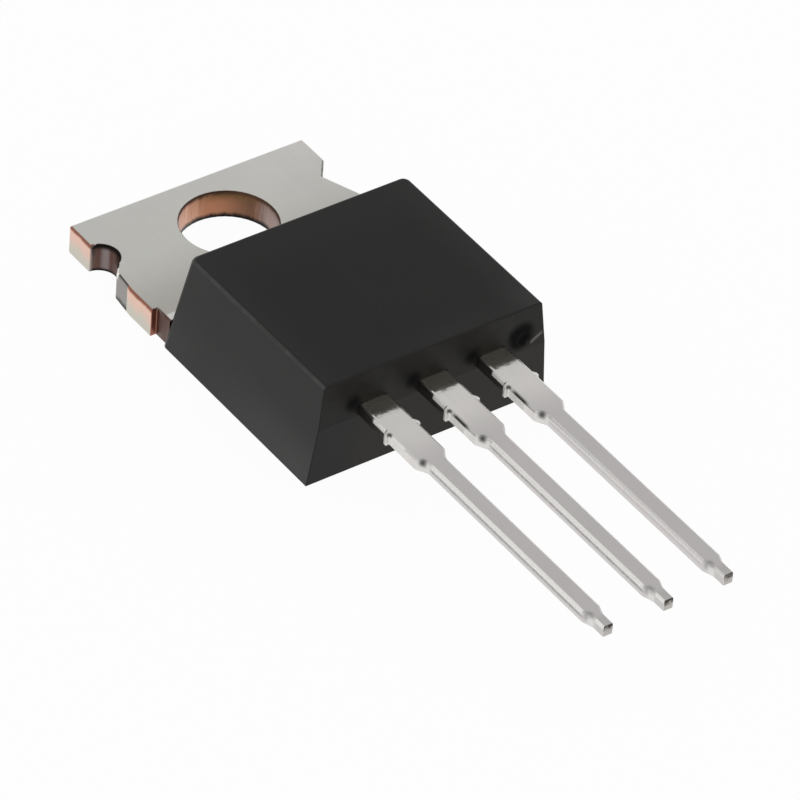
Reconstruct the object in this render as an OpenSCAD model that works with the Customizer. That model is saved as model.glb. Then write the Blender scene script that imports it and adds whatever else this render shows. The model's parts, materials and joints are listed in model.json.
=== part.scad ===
// Voltage regulator in a three-lead power package: copper tab, leads, chip and moulded body.
// Millimetres. The origin is on the axis of the mounting hole, on the back face of the tab.
// +Z points out of the package's top, and the leads run towards -Y.

/* [Tab] */
// How far the tab's sides lie inside the body's sides
tab_inset = 0.05; // [0:0.01:0.15]
// Thickness of the tab and of the header under the chip
tab_t = 1.2; // [1.1:0.05:1.4]
// Diameter of the mounting hole
hole_d = 3.7; // [3.2:0.1:4]
// From the hole's centre to the far end of the tab
hole_to_end = 2.75; // [2.5:0.05:3.2]
// From the hole's centre to the body's back edge
hole_to_body = 3.4; // [3:0.1:4]
// Radius of the round notch in the left side of the tab
notch_r = 0.7; // [0.6:0.05:0.8]
// How deep the round notch goes into the side
notch_depth = 0.68; // [0.5:0.01:0.7]
// From the hole's centre to the round notch's centre, along the tab
notch_offset = 0.7; // [0.5:0.05:0.9]
// From the round notch's centre to the end of its slanted side, towards the body
notch_flank = 1.05; // [0.9:0.05:1.2]
// Depth of the open vee in the right side of the tab
vee_depth = 0.6; // [0.3:0.05:0.7]
// From the hole's centre to the bottom of the vee, along the tab
vee_offset = 0.55; // [0.4:0.05:0.8]
// From the bottom of the vee to its end towards the tab's end
vee_short = 0.8; // [0.6:0.05:1]
// From the bottom of the vee to its end towards the body
vee_long = 1.5; // [1.1:0.05:1.6]
// Length of the sheared tie bar stub on each side
stub_len = 1.35; // [0.8:0.05:1.6]
// How far that stub stands proud of the tab's side
stub_proud = 0.12; // [0.05:0.01:0.2]
// From the stub to the body's back edge
stub_to_body = 0.6; // [0.4:0.05:0.9]
// How far the side steps in between the stub and the body
side_step = 0.12; // [0.08:0.01:0.2]

/* [Leads] */
// Distance between the leads' centres
lead_pitch = 2.54; // [2.5:0.01:2.6]
// Thickness of the leads
lead_t = 0.48; // [0.36:0.01:0.6]
// Height of the leads' underside above the back face
lead_z = 2.5; // [2.4:0.05:2.7]
// Length of the leads, from the body's parting line to the tips
lead_len = 13.8; // [12.5:0.1:14.5]
// Width of the leads next to the body
lead_wide = 1.25; // [1.1:0.05:1.5]
// Width of the leads past the shoulder
lead_narrow = 0.72; // [0.6:0.02:0.95]
// From the body to the start of the shoulder
shoulder_from = 3.4; // [3.2:0.05:4]
// Length of the sloping shoulder
shoulder_len = 0.45; // [0.2:0.05:0.8]
// From the body to the sheared dam bar stubs
dam_from = 1.6; // [1.2:0.05:2.4]
// Length of each dam bar stub along the lead
dam_len = 0.25; // [0.2:0.05:0.7]
// How far the dam bar stubs stand proud of the lead's sides
dam_proud = 0.15; // [0.05:0.01:0.3]
// Width of the small nub at the tip
nub_w = 0.4; // [0.3:0.02:0.5]
// Length of that nub
nub_len = 0.55; // [0.3:0.05:0.8]
// Length of the taper that leads down to the nub
tip_taper = 0.45; // [0.2:0.05:0.8]

/* [Inside the body] */
// Thickness of the moulding beside the header
header_cover = 0.75; // [0.5:0.05:1.2]
// How far the header's lower edges are cut back, to lock the moulding
header_undercut = 0.25; // [0.1:0.05:0.4]
// Height of that undercut
undercut_h = 0.45; // [0.2:0.05:0.7]
// From the body's front to the header's front edge
header_setback = 2.1; // [1.9:0.05:2.4]
// Depth of the sealing groove across the header
groove_depth = 0.15; // [0.05:0.01:0.25]
// From the body's back edge to the sealing groove
groove_from = 0.9; // [0.7:0.05:1.4]
// Slope of the formed step between the header and the ground lead, in degrees
step_angle = 62; // [55:1:66]
// Flat run of the ground lead between the header's edge and the step
step_run = 0.3; // [0.25:0.05:0.4]
// Width of the bonding paddles on the outer leads
paddle_w = 2.2; // [1.9:0.1:2.6]
// Length of the bonding paddles
paddle_len = 1.5; // [1.2:0.05:1.6]
// Length of the neck between a paddle and the wall, which locks the lead in the moulding
neck_len = 0.55; // [0.4:0.05:0.7]
// Width of that neck
neck_w = 0.9; // [0.7:0.05:1]
// Width of the chip
die_w = 2.6; // [2:0.1:3.2]
// Length of the chip
die_len = 2.2; // [1.8:0.1:2.6]
// Thickness of the chip
die_t = 0.28; // [0.2:0.02:0.36]
// From the header's front edge to the chip
die_setback = 1.1; // [0.7:0.1:1.8]
// Thickness of the solder under the chip
solder_t = 0.05; // [0.03:0.01:0.08]
// How far the solder spreads past the chip
solder_margin = 0.1; // [0.05:0.01:0.2]
// Diameter of the bond wires
wire_d = 0.2; // [0.12:0.01:0.25]
// Length of the flattened foot of a bond wire
foot_len = 0.5; // [0.4:0.05:0.7]
// Width of that foot
foot_w = 0.28; // [0.26:0.01:0.35]
// From the chip's edge to the middle of a bond
pad_inset = 0.45; // [0.35:0.05:0.6]
// From the chip to the ground wire's bond on the header
ground_reach = 1.1; // [0.8:0.1:1.5]

/* [Moulded body] */
// Width of the body at the back face
body_w = 10.3; // [10.2:0.05:10.6]
// Length of the body at the parting line
body_len = 9.25; // [8.6:0.05:9.6]
// Height of the body above the back face
body_h = 4.3; // [4.2:0.05:4.7]
// Draft of the side walls, in degrees
side_draft = 6.5; // [3:0.5:7]
// Draft of the back wall, in degrees
back_draft = 10; // [5:0.5:12]
// Draft of the front wall above and below the parting line, in degrees
front_draft = 3; // [1:0.5:5]
// Radius of the two upright back edges
back_edge_r = 0.3; // [0.1:0.05:0.6]
// Radius of the scar where the gate broke off
gate_r = 0.5; // [0.3:0.05:0.7]
// Depth of the gate scar
gate_depth = 0.12; // [0.05:0.01:0.2]
// From the body's side to the middle of the gate scar
gate_from_side = 1.25; // [0.85:0.05:1.4]

/* [Hidden] */
$fn = 64;

// How far a cutting shape runs past the surface that it cuts
past = 1;

// Angle at which the rounds on the upright back edges meet the walls, so that they cut them cleanly
edge_meet = 8;

// Angle round the notch at which its slanted side starts
flank_meet = 30;

// Widths, planes and heights that several pieces share
tab_w = body_w - 2 * tab_inset;
header_w = body_w - 2 * header_cover;
body_back = -hole_to_body;
body_front = body_back - body_len;
header_front = body_front + header_setback;
header_back = body_back - tab_t * tan(back_draft);
lead_top = lead_z + lead_t;
die_z = tab_t + solder_t;
die_top = die_z + die_t;
die_front = header_front + die_setback;
tip_from = lead_len - nub_len - tip_taper;

// Where the bond wires start on the chip and where they land
pad_x = die_w / 2 - pad_inset;
pad_y = die_front + pad_inset;
paddle_mid = body_front + neck_len + paddle_len / 2;
ground_pad = [0, die_front + die_len - pad_inset, die_top];
ground_land = [0, die_front + die_len + ground_reach, tab_t];

// Points of a half outline on the other side, in the order in which they follow the first half
function other_side(half) = [for (i = [len(half) - 1:-1:0]) [-half[i].x, half[i].y]];

// Points of a half outline, followed by the same points on the other side
function both_sides(half) = concat(half, other_side(half));

function unit(v) = v / norm(v);

// Lays a profile drawn in Y and Z out along X, centred on X = 0
module along_x(width) {
    translate([-width / 2, 0, 0])
        rotate([90, 0, 90])
            linear_extrude(width)
                children();
}

// Lays a profile drawn in X and Z out along Y, between two places on Y
module along_y(from, to) {
    translate([0, to, 0])
        rotate([90, 0, 0])
            linear_extrude(to - from)
                children();
}

// Half plan of the tab outside the body: a notch, a tie bar stub and the step next to the body
function tab_side(notch) =
    let (stub_x = tab_w / 2 + stub_proud, stub_end = body_back + stub_to_body)
    concat([[tab_w / 2, hole_to_end]], notch, [
        [stub_x, stub_end + stub_len],
        [stub_x, stub_end],
        [tab_w / 2 - side_step, stub_end],
        [tab_w / 2 - side_step, header_back]
    ]);

// Plan of the tab outside the body, with the vee on the right and the round notch on the left
module tab_plan() {
    notch_x = tab_w / 2 + notch_r - notch_depth;
    vee = [
        [tab_w / 2, vee_offset + vee_short],
        [tab_w / 2 - vee_depth, vee_offset],
        [tab_w / 2, vee_offset - vee_long]
    ];
    flank = [
        [tab_w / 2, notch_offset],
        [notch_x - notch_r * sin(flank_meet), notch_offset - notch_r * cos(flank_meet)],
        [tab_w / 2, notch_offset - notch_flank]
    ];
    difference() {
        polygon(concat(tab_side(vee), other_side(tab_side(flank))));
        translate([-notch_x, notch_offset])
            circle(notch_r);
    }
}

// Header inside the body, with undercut edges and a sealing groove across its top
module header() {
    difference() {
        along_y(header_front, header_back)
            polygon(both_sides([
                [header_w / 2 - header_undercut, 0],
                [header_w / 2, undercut_h],
                [header_w / 2, tab_t]
            ]));
        translate([0, body_back - groove_from, tab_t])
            along_x(header_w + past)
                polygon([[-groove_depth, 0], [0, -groove_depth], [groove_depth, 0]]);
    }
}

// Plan of a lead's bare length, from the place given inside the body to the tip
module lead_plan(inner) {
    wide = lead_wide / 2;
    narrow = lead_narrow / 2;
    translate([0, body_front])
        polygon(both_sides([
            [wide, inner],
            [wide, -dam_from],
            [wide + dam_proud, -dam_from],
            [wide + dam_proud, -dam_from - dam_len],
            [wide, -dam_from - dam_len],
            [wide, -shoulder_from],
            [narrow, -shoulder_from - shoulder_len],
            [narrow, -tip_from],
            [nub_w / 2, -tip_from - tip_taper],
            [nub_w / 2, -lead_len]
        ]));
}

module lead(inner) {
    translate([0, 0, lead_z])
        linear_extrude(lead_t)
            lead_plan(inner);
}

// Formed step of even thickness from the header's top edge up to the leads' plane
module formed_step(top_y) {
    low = tab_t - lead_t;
    foot_y = header_front - step_run;
    bend = lead_t * tan(step_angle / 2);
    along_x(lead_wide)
        polygon([
            [header_front, low],
            [foot_y, low],
            [top_y, lead_z],
            [body_front, lead_z],
            [body_front, lead_top],
            [top_y + bend, lead_top],
            [foot_y + bend, tab_t],
            [header_front, tab_t]
        ]);
}

module tab_and_ground_lead_form() {
    step_top = header_front - step_run - (lead_z - tab_t + lead_t) / tan(step_angle);
    difference() {
        linear_extrude(tab_t)
            tab_plan();
        translate([0, 0, -past])
            cylinder(d = hole_d, h = tab_t + 2 * past);
    }
    header();
    formed_step(step_top);
    lead(0);
}

// Outer lead on one side (-1 or 1), with its neck and bonding paddle
module outer_lead_form(side) {
    translate([side * lead_pitch, 0, 0]) {
        lead(0);
        translate([-neck_w / 2, body_front, lead_z])
            cube([neck_w, neck_len, lead_t]);
        translate([-paddle_w / 2, body_front + neck_len, lead_z])
            cube([paddle_w, paddle_len, lead_t]);
    }
}

module die_solder_form() {
    translate([-die_w / 2 - solder_margin, die_front - solder_margin, tab_t])
        cube([die_w + 2 * solder_margin, die_len + 2 * solder_margin, solder_t]);
}

module silicon_die_form() {
    translate([-die_w / 2, die_front, die_z])
        cube([die_w, die_len, die_t]);
}

// Bond wire that leaves its start upright, runs over in one arc and lands on a flat foot
module bond_wire(start, land) {
    run = norm([land.x - start.x, land.y - start.y]);
    rise = land.z - start.z + wire_d / 2;
    loop_r = (pow(run, 2) + pow(rise, 2)) / (2 * run);
    land_angle = atan2(rise, run - loop_r);
    translate(start)
        rotate(atan2(land.y - start.y, land.x - start.x)) {
            translate([-foot_len / 2, -foot_w / 2, 0])
                cube([foot_len, foot_w, wire_d]);
            translate([loop_r, 0, 0])
                rotate([90, 0, 0])
                    rotate(land_angle)
                        rotate_extrude(angle = 180 - land_angle)
                            translate([loop_r, 0])
                                circle(d = wire_d);
            translate([run - foot_len / 2, -foot_w / 2, land.z - start.z])
                cube([foot_len, foot_w, wire_d]);
        }
}

// Bond wire from the chip to the paddle on one side (-1 or 1)
module paddle_wire_form(side) {
    bond_wire([side * pad_x, pad_y, die_top], [side * lead_pitch, paddle_mid, lead_top]);
}

module ground_wire_form() {
    bond_wire(ground_pad, ground_land);
}

// Outer form of the moulding before its edges are rounded: drafted walls that meet at the parting line
module drafted_block() {
    intersection() {
        along_y(body_front - past, body_back + past)
            polygon(both_sides([
                [body_w / 2, 0],
                [body_w / 2 - body_h * tan(side_draft), body_h]
            ]));
        along_x(body_w + past)
            polygon([
                [body_back, 0],
                [body_back - body_h * tan(back_draft), body_h],
                [body_front + (body_h - lead_z) * tan(front_draft), body_h],
                [body_front, lead_z],
                [body_front + lead_z * tan(front_draft), 0]
            ]);
    }
}

// Sliver to remove from the sloping upright edge between a side wall and the back wall
module back_edge_waste(side) {
    side_out = [side * cos(side_draft), 0, sin(side_draft)];
    back_out = [0, cos(back_draft), sin(back_draft)];
    edge = unit(cross(side_out, back_out)) * side;
    tilt = acos(edge.z);
    turn = atan2(edge.y, edge.x);
    local_x = [cos(turn) * cos(tilt), sin(turn) * cos(tilt), -sin(tilt)];
    local_y = [-sin(turn), cos(turn), 0];
    side_at = [side_out * local_x, side_out * local_y] * back_edge_r;
    back_at = [back_out * local_x, back_out * local_y] * back_edge_r;
    inward = (side_out + back_out) * back_edge_r * cos(edge_meet) / (1 + side_out * back_out);
    translate([side * body_w / 2, body_back, 0] - inward)
        rotate([0, tilt, turn])
            translate([0, 0, -past])
                linear_extrude(body_h + 2 * past)
                    difference() {
                        polygon([[0, 0], side_at, 2 * (side_at + back_at), back_at]);
                        circle(back_edge_r);
                    }
}

module gate_scar() {
    translate([body_w / 2 - gate_from_side, body_front - gate_r + gate_depth, lead_top])
        sphere(gate_r);
}

module moulded_body_form() {
    difference() {
        drafted_block();
        for (side = [-1, 1])
            back_edge_waste(side);
        gate_scar();
        tab_and_ground_lead_form();
        for (side = [-1, 1]) {
            outer_lead_form(side);
            paddle_wire_form(side);
        }
        die_solder_form();
        silicon_die_form();
        ground_wire_form();
    }
}

module tab_and_ground_lead() {
    color("silver") tab_and_ground_lead_form();
}

module input_lead() {
    color("silver") outer_lead_form(-1);
}

module output_lead() {
    color("silver") outer_lead_form(1);
}

module die_solder() {
    color("gainsboro") die_solder_form();
}

module silicon_die() {
    color("slategray") silicon_die_form();
}

module input_wire() {
    color("lightgray") paddle_wire_form(-1);
}

module output_wire() {
    color("lightgray") paddle_wire_form(1);
}

module ground_wire() {
    color("lightgray") ground_wire_form();
}

module moulded_body() {
    color([0.17, 0.17, 0.17]) moulded_body_form();
}

tab_and_ground_lead();
input_lead();
output_lead();
die_solder();
silicon_die();
input_wire();
output_wire();
ground_wire();
moulded_body();
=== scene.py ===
"""Looks of a three-lead voltage regulator: tinned copper, bare sheared copper and moulded black epoxy."""
import json
import math

import bpy
from mathutils import Matrix, Vector


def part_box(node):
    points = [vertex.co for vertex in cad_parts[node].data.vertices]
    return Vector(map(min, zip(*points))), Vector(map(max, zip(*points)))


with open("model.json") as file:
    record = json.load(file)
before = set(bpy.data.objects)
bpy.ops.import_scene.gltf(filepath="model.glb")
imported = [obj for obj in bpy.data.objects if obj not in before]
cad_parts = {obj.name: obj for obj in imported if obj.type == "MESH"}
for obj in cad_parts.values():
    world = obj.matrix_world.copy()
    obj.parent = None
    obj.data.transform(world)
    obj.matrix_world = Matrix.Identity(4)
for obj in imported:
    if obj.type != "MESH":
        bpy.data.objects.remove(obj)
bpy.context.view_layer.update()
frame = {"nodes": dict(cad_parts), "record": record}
nodes = frame["nodes"]
mounts = {mount["name"]: mount for mount in frame["record"]["mounts"]}

MM = 0.001

# Places that the finishes depend on, taken from the frame
tab_low, tab_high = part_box("tab_and_ground_lead")
body_low, body_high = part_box("moulded_body")
hole_r = mounts["mounting_hole"]["dims"]["r_mm"] * MM
tab_t = mounts["mounting_hole"]["dims"]["length_mm"] * MM
beside_hole = hole_r + MM
stub_x = tab_high.x
tip_y = tab_low.y
body_front = body_low.y
body_back = body_high.y

# Sizes of the stamped edges that the frame doesn't name
STUB_PROUD = 0.12 * MM
STUB_LEN = 1.35 * MM
STUB_TO_BODY = 0.6 * MM
NOTCH_R = 0.7 * MM
NOTCH_Y = 0.7 * MM
NOTCH_FLANK = 1.05 * MM
VEE_BACK = 1.35 * MM
VEE_FRONT = -0.95 * MM
LEAD_HALF = 0.625 * MM
LEAD_T = 0.48 * MM
DAM_END = 1.85 * MM
SHOULDER_FROM = 3.4 * MM
SHOULDER_END = 3.95 * MM
tab_side = stub_x - STUB_PROUD
stub_front = body_back + STUB_TO_BODY
stub_back = stub_front + STUB_LEN
stub_copper_end = stub_back + 0.28 * MM
notch_back = NOTCH_Y + NOTCH_R
flank_end = NOTCH_Y - NOTCH_FLANK
lead_low, lead_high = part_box("input_lead")
lead_pitch = -(lead_low.x + lead_high.x) / 2
lead_top = lead_high.z

# Camera of the photograph: long lens, from the left front and above, rolled a little
LOOK_AT = Vector((-0.32, -11.27, 1.01)) * MM
CAMERA_DISTANCE = 243.0 * MM
CAMERA_AZIMUTH = math.radians(-37.98)
CAMERA_ELEVATION = math.radians(39.46)
CAMERA_ROLL = math.radians(4.63)
FOCAL_PIXELS = 6900
PHOTO_PIXELS = 800
SENSOR = 36


# Small helpers that build node trees

def set_input(tree, socket, value):
    """Links another node's output to a socket, or sets a plain value on it."""
    if isinstance(value, bpy.types.NodeSocket):
        tree.links.new(value, socket)
    else:
        socket.default_value = value


def add_node(tree, kind, settings=None, **inputs):
    """A new node with its properties and its named inputs set."""
    new = tree.nodes.new(kind)
    for name, value in (settings or {}).items():
        setattr(new, name, value)
    for name, value in inputs.items():
        set_input(tree, new.inputs[name.replace("_", " ")], value)
    return new


def calc(tree, operation, *numbers):
    """Output of a Math node."""
    new = add_node(tree, "ShaderNodeMath", {"operation": operation})
    for socket, value in zip(new.inputs, numbers):
        set_input(tree, socket, value)
    return new.outputs[0]


def invert(tree, value):
    """One minus a mask."""
    return calc(tree, "SUBTRACT", 1.0, value)


def both(tree, *masks):
    """Where all the masks hold."""
    result = masks[0]
    for mask in masks[1:]:
        result = calc(tree, "MULTIPLY", result, mask)
    return result


def either(tree, *masks):
    """Where any of the masks holds."""
    result = masks[0]
    for mask in masks[1:]:
        result = calc(tree, "MAXIMUM", result, mask)
    return result


def above(tree, value, edge, softness):
    """0 below the edge and 1 above it, with a soft step between."""
    ramp = add_node(tree, "ShaderNodeMapRange", {"interpolation_type": "SMOOTHSTEP"}, Value=value)
    ramp.inputs["From Min"].default_value = edge - softness
    ramp.inputs["From Max"].default_value = edge + softness
    return ramp.outputs[0]


def below(tree, value, edge, softness):
    """1 below the edge and 0 above it."""
    return invert(tree, above(tree, value, edge, softness))


def distance(tree, first, second):
    """Length of a flat offset."""
    return calc(tree, "SQRT", calc(tree, "ADD", calc(tree, "MULTIPLY", first, first),
                                   calc(tree, "MULTIPLY", second, second)))


def blend_colour(tree, factor, first, second):
    """Mix of two colours."""
    mix = add_node(tree, "ShaderNodeMix", {"data_type": "RGBA"})
    for place, value in ((0, factor), (6, first), (7, second)):
        set_input(tree, mix.inputs[place], value)
    return mix.outputs[2]


def blend_value(tree, factor, first, second):
    """Mix of two numbers."""
    mix = add_node(tree, "ShaderNodeMix", {"data_type": "FLOAT"})
    for place, value in ((0, factor), (2, first), (3, second)):
        set_input(tree, mix.inputs[place], value)
    return mix.outputs[0]


def scaled_place(tree, place, scale):
    """Coordinates in millimetres, stretched by a factor on each axis."""
    stretched = add_node(tree, "ShaderNodeVectorMath", {"operation": "MULTIPLY"})
    set_input(tree, stretched.inputs[0], place)
    stretched.inputs[1].default_value = tuple(factor / MM for factor in scale)
    return stretched.outputs[0]


def object_place(tree):
    """The point on the part in its own frame, and its X, Y and Z, in metres."""
    place = add_node(tree, "ShaderNodeTexCoord").outputs["Object"]
    parts = add_node(tree, "ShaderNodeSeparateXYZ", Vector=place)
    return place, parts.outputs[0], parts.outputs[1], parts.outputs[2]


def facing(tree):
    """How far the surface faces along X, Y and Z, without sign."""
    normal = add_node(tree, "ShaderNodeNewGeometry").outputs["Normal"]
    parts = add_node(tree, "ShaderNodeSeparateXYZ", Vector=normal)
    return [calc(tree, "ABSOLUTE", part) for part in parts.outputs]


def new_group(name, inputs, outputs):
    """An empty shader group with its sockets, its input and its output node."""
    group = bpy.data.node_groups.new(name, "ShaderNodeTree")
    for label, kind, default in inputs:
        socket = group.interface.new_socket(label, in_out="INPUT", socket_type=kind)
        if default is not None:
            socket.default_value = default
    for label in outputs:
        group.interface.new_socket(label, in_out="OUTPUT", socket_type="NodeSocketFloat")
    return group, group.nodes.new("NodeGroupInput"), group.nodes.new("NodeGroupOutput")


def use_group(tree, group, **inputs):
    """A group node in a material, with its inputs set."""
    return add_node(tree, "ShaderNodeGroup", {"node_tree": group}, **inputs)


def bare_material(name):
    """An empty material with its output node."""
    material = bpy.data.materials.new(name)
    material.use_nodes = True
    material.node_tree.nodes.clear()
    return material, material.node_tree, material.node_tree.nodes.new("ShaderNodeOutputMaterial")


def new_material(name):
    """A material with only its output and a Principled shader."""
    material, tree, output = bare_material(name)
    shader = tree.nodes.new("ShaderNodeBsdfPrincipled")
    tree.links.new(shader.outputs[0], output.inputs[0])
    return material, tree, shader


# Effects that several finishes share

def spread_noise(group, place, scale, detail):
    """Noise with its middle tones spread over the whole range."""
    noise = add_node(group, "ShaderNodeTexNoise", Vector=place, Scale=scale, Detail=detail, Roughness=0.5)
    ramp = add_node(group, "ShaderNodeMapRange", Value=noise.outputs[0])
    ramp.inputs["From Min"].default_value = 0.3
    ramp.inputs["From Max"].default_value = 0.7
    return ramp.outputs[0]


def rolled_lines_group():
    """Fine lines along the metal's rolling direction, which runs with the leads."""
    sockets = [("Vector", "NodeSocketVector", None), ("Lines per mm", "NodeSocketFloat", 5.0)]
    group, given, result = new_group("rolled_lines", sockets, ["Lines"])
    place = scaled_place(group, given.outputs["Vector"], (1.0, 0.03, 1.0))
    lines = spread_noise(group, place, given.outputs["Lines per mm"], 1.5)
    group.links.new(lines, result.inputs["Lines"])
    return group


def soft_patches_group():
    """Large soft patches, as on handled metal or moulding."""
    sockets = [("Vector", "NodeSocketVector", None), ("Patches per mm", "NodeSocketFloat", 0.5)]
    group, given, result = new_group("soft_patches", sockets, ["Patch"])
    place = scaled_place(group, given.outputs["Vector"], (1.0, 1.0, 1.0))
    patch = spread_noise(group, place, given.outputs["Patches per mm"], 3.0)
    group.links.new(patch, result.inputs["Patch"])
    return group


def fine_grain_group():
    """Even fine grain with a few specks, for moulded and cast surfaces."""
    sockets = [("Vector", "NodeSocketVector", None), ("Grains per mm", "NodeSocketFloat", 14.0)]
    group, given, result = new_group("fine_grain", sockets, ["Grain", "Specks"])
    place = scaled_place(group, given.outputs["Vector"], (1.0, 1.0, 1.0))
    noise = add_node(group, "ShaderNodeTexNoise", Vector=place, Scale=given.outputs["Grains per mm"],
                     Detail=2.0, Roughness=0.6)
    cells = add_node(group, "ShaderNodeTexVoronoi", Vector=place,
                     Scale=calc(group, "MULTIPLY", given.outputs["Grains per mm"], 0.3))
    group.links.new(noise.outputs[0], result.inputs["Grain"])
    group.links.new(below(group, cells.outputs["Distance"], 0.14, 0.06), result.inputs["Specks"])
    return group


ROLLED_LINES = rolled_lines_group()
SOFT_PATCHES = soft_patches_group()
FINE_GRAIN = fine_grain_group()


# Plated copper: tin where the sheet was plated, copper where it was sheared afterwards

TIN_TAB = (0.67, 0.665, 0.625, 1.0)
TIN_SHADE = (0.5, 0.48, 0.44, 1.0)
TIN_WIDE = (0.8, 0.775, 0.75, 1.0)
TIN_LEAD = (0.63, 0.605, 0.6, 1.0)
TIN_STREAK = (0.5, 0.49, 0.475, 1.0)
TIN_EDGE = (0.76, 0.75, 0.72, 1.0)
TIN_STAINED = (0.72, 0.7, 0.58, 1.0)
# Near-white tin for painted highlights and painted light on the leads' sides and edges, and at the notch's
# corner
TIN_HIGHLIGHT = (0.95, 0.93, 0.9, 1.0)
COPPER = (0.8, 0.54, 0.44, 1.0)
COPPER_PALE = (0.6, 0.57, 0.5, 1.0)
COPPER_BURNT = (0.3, 0.125, 0.085, 1.0)
COPPER_TAN = (0.74, 0.43, 0.31, 1.0)
COPPER_BROWN = (0.4, 0.18, 0.1, 1.0)
COPPER_DARK = (0.11, 0.063, 0.043, 1.0)
COPPER_OLIVE = (0.14, 0.09, 0.04, 1.0)
COPPER_GREY = (0.33, 0.26, 0.245, 1.0)
FLANK_GREY = (0.3, 0.285, 0.27, 1.0)
FLANK_DARK = (0.06, 0.055, 0.05, 1.0)
NOTCH_BROWN = (0.105, 0.055, 0.045, 1.0)
NOTCH_LIGHT = (0.24, 0.2, 0.2, 1.0)
NOTCH_BLACK = (0.012, 0.009, 0.008, 1.0)
RECESS_BROWN = (0.16, 0.12, 0.105, 1.0)
FACET_GREY = (0.74, 0.73, 0.71, 1.0)
FACET_DARK = (0.11, 0.107, 0.1, 1.0)
SIDE_LINE = (0.3, 0.29, 0.28, 1.0)
TIP_GREY = (0.24, 0.235, 0.225, 1.0)
CUT_END = (0.5, 0.48, 0.45, 1.0)
# Near black: pits on the leads' cut ends, and painted dark reflection on the sides past the stubs
DARK_PITS_AND_REFLECTION = (0.05, 0.045, 0.04, 1.0)


def within(tree, value, low, high, softness):
    """1 between two edges, with soft steps."""
    return both(tree, above(tree, value, low, softness), below(tree, value, high, softness))


def side_copper(tree, side, y, height, marks):
    """Sheared tab ends and tie bar stubs: copper, paler towards the back, burnt along the upper edge."""
    end = both(tree, above(tree, side, tab_side - 0.2 * MM, 0.01 * MM),
               above(tree, y, notch_back, 0.02 * MM))
    stub = both(tree, above(tree, side, tab_side - 0.04 * MM, 0.01 * MM),
                within(tree, y, stub_front - 0.01 * MM, stub_copper_end, 0.02 * MM))
    wavy = calc(tree, "MULTIPLY_ADD", marks, 0.22, height)
    colour = blend_colour(tree, above(tree, wavy, 0.6, 0.3), COPPER_PALE, COPPER)
    edge = calc(tree, "MULTIPLY_ADD", marks, 0.05, height)
    colour = blend_colour(tree, above(tree, edge, 0.925, 0.045), colour, COPPER_BURNT)
    return either(tree, end, stub), colour


def stub_end(tree, side, y, along):
    """Dark red torn end of the tie bar stub."""
    mask = both(tree, above(tree, side, tab_side - 0.14 * MM, 0.01 * MM), above(tree, along, 0.5, 0.1),
                within(tree, y, stub_front - 0.03 * MM, stub_front + 0.06 * MM, 0.01 * MM))
    return mask, COPPER_BURNT


def flank_grey(tree, side, y, height, marks):
    """Dull side between the notch and the stub, dark along its lower edge."""
    mask = both(tree, above(tree, side, tab_side - 0.16 * MM, 0.01 * MM),
                within(tree, y, stub_copper_end, flank_end, 0.02 * MM))
    low = below(tree, calc(tree, "MULTIPLY_ADD", marks, 0.1, height), 0.2, 0.08)
    high = above(tree, height, 0.95, 0.03)
    return mask, blend_colour(tree, either(tree, low, high), FLANK_GREY, FLANK_DARK)


def notch_copper(tree, x, y, height, marks):
    """Wall of the round notch: dark brown with a lighter streak and nearly black rims."""
    mask = both(tree, below(tree, x, -beside_hole, 0.02 * MM),
                within(tree, y, flank_end + 0.02 * MM, notch_back, 0.02 * MM))
    streak = within(tree, y, 1.02 * MM, 1.24 * MM, 0.07 * MM)
    colour = blend_colour(tree, calc(tree, "MULTIPLY", marks, 0.35), NOTCH_BROWN, RECESS_BROWN)
    colour = blend_colour(tree, calc(tree, "MULTIPLY", streak, 0.8), colour, NOTCH_LIGHT)
    rims = either(tree, below(tree, height, 0.1, 0.06), above(tree, height, 0.84, 0.09))
    return mask, blend_colour(tree, rims, colour, NOTCH_BLACK)


def burr_highlight(tree, x, y, height):
    """Painted highlight on the burred corner where the round notch runs out into its flank."""
    mask = both(tree, below(tree, x, -beside_hole, 0.02 * MM),
                within(tree, y, flank_end - 0.12 * MM, flank_end + 0.2 * MM, 0.04 * MM),
                above(tree, height, 0.8, 0.08))
    return mask, TIN_HIGHLIGHT


def vee_grey(tree, x, y, marks):
    """Walls of the open vee on the other side, dull and dark."""
    mask = both(tree, above(tree, x, beside_hole, 0.02 * MM),
                within(tree, y, VEE_FRONT, VEE_BACK, 0.02 * MM))
    return mask, blend_colour(tree, marks, FLANK_DARK, FLANK_GREY)


def hole_copper(tree, x, y, height, marks):
    """Wall of the punched hole: tan, brown and grey from left to right, dark at both rims."""
    mask = below(tree, distance(tree, x, y), hole_r + 0.1 * MM, 0.012 * MM)
    across_hole = calc(tree, "ADD", calc(tree, "MULTIPLY", x, 0.79), calc(tree, "MULTIPLY", y, -0.62))
    to_right = calc(tree, "MULTIPLY_ADD", marks, 0.15, calc(tree, "DIVIDE", across_hole, hole_r))
    colour = blend_colour(tree, above(tree, to_right, -0.65, 0.3), COPPER_TAN, COPPER_BROWN)
    colour = blend_colour(tree, above(tree, to_right, 0.1, 0.4), colour, COPPER_DARK)
    colour = blend_colour(tree, above(tree, to_right, 0.66, 0.13), colour, COPPER_GREY)
    olive = both(tree, within(tree, to_right, -0.45, 0.6, 0.3), above(tree, height, 0.72, 0.2))
    colour = blend_colour(tree, olive, colour, COPPER_OLIVE)
    colour = blend_colour(tree, calc(tree, "MULTIPLY", marks, 0.4), colour, COPPER_BROWN)
    wavy = calc(tree, "MULTIPLY_ADD", marks, 0.08, height)
    colour = blend_colour(tree, below(tree, wavy, 0.2, 0.09), colour, NOTCH_BLACK)
    colour = blend_colour(tree, above(tree, wavy, 0.92, 0.07), colour, COPPER_DARK)
    return mask, colour


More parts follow.
